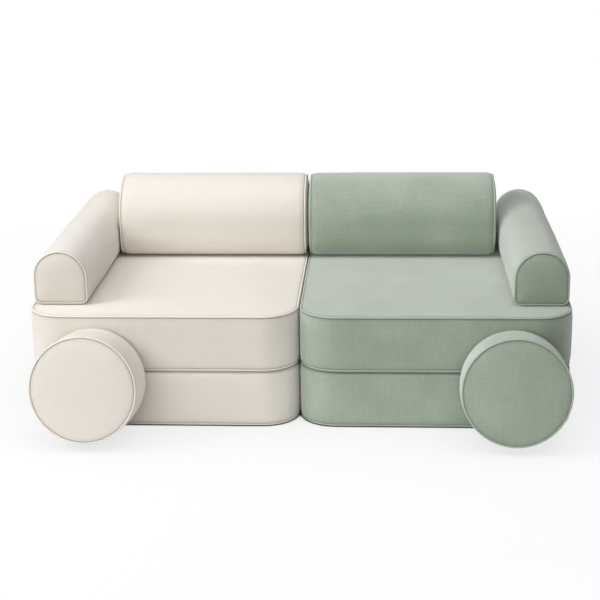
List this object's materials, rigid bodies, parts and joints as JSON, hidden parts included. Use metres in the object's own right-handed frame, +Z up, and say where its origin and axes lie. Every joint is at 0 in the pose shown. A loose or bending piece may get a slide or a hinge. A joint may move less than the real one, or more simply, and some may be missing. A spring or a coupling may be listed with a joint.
{
  "type": "modular foam play sofa",
  "caption": "Low modular foam play sofa: layered seat blocks with back and arm bolsters and round cushions that lean on the front, all in zipped, piped covers.",
  "frame": {"origin": "on the floor, under the middle of the whole sofa with its leaning round cushions", "axes": "+X to the right as seen from the front, +Y to the back, +Z up; the front faces -Y"},
  "size_m": [1.3998, 0.9834, 0.5246],
  "materials": {
    "cream_cloth": "soft short-pile upholstery cloth, cream",
    "sage_cloth": "soft short-pile upholstery cloth, sage green",
    "cream_piping": "corded piping in the cover's own cream cloth",
    "sage_piping": "corded piping in the cover's own sage cloth",
    "cream_zip_tape": "woven zip tape with moulded coil, cream",
    "sage_zip_tape": "woven zip tape with moulded coil, sage",
    "foam": "open-cell polyurethane foam, pale yellow",
    "zip_slider_metal": "die-cast zip slider without a pull, satin nickel"
  },
  "bodies": {
    "left_base": {"left_base_cover": "cream_cloth", "left_base_foam": "foam", "left_base_lower_piping": "cream_piping", "left_base_zip": "cream_zip_tape"},
    "left_base_zip_slider": {"left_base_zip_slider": "zip_slider_metal"},
    "left_seat": {"left_seat_cover": "cream_cloth", "left_seat_foam": "foam", "left_seat_lower_piping": "cream_piping", "left_seat_upper_piping": "cream_piping", "left_seat_zip": "cream_zip_tape"},
    "left_seat_zip_slider": {"left_seat_zip_slider": "zip_slider_metal"},
    "left_back": {"left_back_cover": "cream_cloth", "left_back_foam": "foam", "left_back_left_piping": "cream_piping", "left_back_right_piping": "cream_piping", "left_back_zip": "cream_zip_tape"},
    "left_back_zip_slider": {"left_back_zip_slider": "zip_slider_metal"},
    "left_arm": {"left_arm_cover": "cream_cloth", "left_arm_foam": "foam", "left_arm_rear_piping": "cream_piping", "left_arm_front_piping": "cream_piping", "left_arm_zip": "cream_zip_tape"},
    "left_arm_zip_slider": {"left_arm_zip_slider": "zip_slider_metal"},
    "left_disc": {"left_disc_cover": "cream_cloth", "left_disc_foam": "foam", "left_disc_front_piping": "cream_piping", "left_disc_back_piping": "cream_piping", "left_disc_zip": "cream_zip_tape"},
    "left_disc_zip_slider": {"left_disc_zip_slider": "zip_slider_metal"},
    "right_base": {"right_base_cover": "sage_cloth", "right_base_foam": "foam", "right_base_lower_piping": "sage_piping", "right_base_zip": "sage_zip_tape"},
    "right_base_zip_slider": {"right_base_zip_slider": "zip_slider_metal"},
    "right_seat": {"right_seat_cover": "sage_cloth", "right_seat_foam": "foam", "right_seat_lower_piping": "sage_piping", "right_seat_upper_piping": "sage_piping", "right_seat_zip": "sage_zip_tape"},
    "right_seat_zip_slider": {"right_seat_zip_slider": "zip_slider_metal"},
    "right_back": {"right_back_cover": "sage_cloth", "right_back_foam": "foam", "right_back_left_piping": "sage_piping", "right_back_right_piping": "sage_piping", "right_back_zip": "sage_zip_tape"},
    "right_back_zip_slider": {"right_back_zip_slider": "zip_slider_metal"},
    "right_arm": {"right_arm_cover": "sage_cloth", "right_arm_foam": "foam", "right_arm_rear_piping": "sage_piping", "right_arm_front_piping": "sage_piping", "right_arm_zip": "sage_zip_tape"},
    "right_arm_zip_slider": {"right_arm_zip_slider": "zip_slider_metal"},
    "right_disc": {"right_disc_cover": "sage_cloth", "right_disc_foam": "foam", "right_disc_front_piping": "sage_piping", "right_disc_back_piping": "sage_piping", "right_disc_zip": "sage_zip_tape"},
    "right_disc_zip_slider": {"right_disc_zip_slider": "zip_slider_metal"}
  },
  "joints": [
    {"name": "right_module_slide", "type": "slide", "parent": "left_base", "child": "right_base", "axis": [1, 0, 0], "range_m": [0, 0.25]},
    {"name": "left_seat_lift", "type": "slide", "parent": "left_base", "child": "left_seat", "axis": [0, 0, 1], "range_m": [0, 0.2]},
    {"name": "left_back_lift", "type": "slide", "parent": "left_seat", "child": "left_back", "axis": [0, 0, 1], "range_m": [0, 0.25]},
    {"name": "left_arm_lift", "type": "slide", "parent": "left_seat", "child": "left_arm", "axis": [0, 0, 1], "range_m": [0, 0.25]},
    {"name": "left_disc_slide", "type": "slide", "parent": "left_base", "child": "left_disc", "axis": [0, -1, 0], "range_m": [0, 0.25]},
    {"name": "left_base_zip_run", "type": "slide", "parent": "left_base", "child": "left_base_zip_slider", "axis": [1, 0, 0], "range_m": [0, 0.465]},
    {"name": "left_seat_zip_run", "type": "slide", "parent": "left_seat", "child": "left_seat_zip_slider", "axis": [1, 0, 0], "range_m": [0, 0.465]},
    {"name": "left_back_zip_run", "type": "slide", "parent": "left_back", "child": "left_back_zip_slider", "axis": [1, 0, 0], "range_m": [0, 0.42]},
    {"name": "left_arm_zip_run", "type": "slide", "parent": "left_arm", "child": "left_arm_zip_slider", "axis": [0, -1, 0], "range_m": [0, 0.585]},
    {"name": "left_disc_zip_run", "type": "hinge", "parent": "left_disc", "child": "left_disc_zip_slider", "pos_m": [-0.524, -0.4023, 0.14475], "axis": [0.0258, 0.9851, -0.1702], "range_deg": [0, 70]},
    {"name": "right_seat_lift", "type": "slide", "parent": "right_base", "child": "right_seat", "axis": [0, 0, 1], "range_m": [0, 0.2]},
    {"name": "right_back_lift", "type": "slide", "parent": "right_seat", "child": "right_back", "axis": [0, 0, 1], "range_m": [0, 0.25]},
    {"name": "right_arm_lift", "type": "slide", "parent": "right_seat", "child": "right_arm", "axis": [0, 0, 1], "range_m": [0, 0.25]},
    {"name": "right_disc_slide", "type": "slide", "parent": "right_base", "child": "right_disc", "axis": [0, -1, 0], "range_m": [0, 0.25]},
    {"name": "right_base_zip_run", "type": "slide", "parent": "right_base", "child": "right_base_zip_slider", "axis": [-1, 0, 0], "range_m": [0, 0.465]},
    {"name": "right_seat_zip_run", "type": "slide", "parent": "right_seat", "child": "right_seat_zip_slider", "axis": [-1, 0, 0], "range_m": [0, 0.465]},
    {"name": "right_back_zip_run", "type": "slide", "parent": "right_back", "child": "right_back_zip_slider", "axis": [1, 0, 0], "range_m": [0, 0.41]},
    {"name": "right_arm_zip_run", "type": "slide", "parent": "right_arm", "child": "right_arm_zip_slider", "axis": [0, -1, 0], "range_m": [0, 0.585]},
    {"name": "right_disc_zip_run", "type": "hinge", "parent": "right_disc", "child": "right_disc_zip_slider", "pos_m": [0.544, -0.4023, 0.14475], "axis": [-0.0258, -0.9851, 0.1702], "range_deg": [0, 70]}
  ]
}
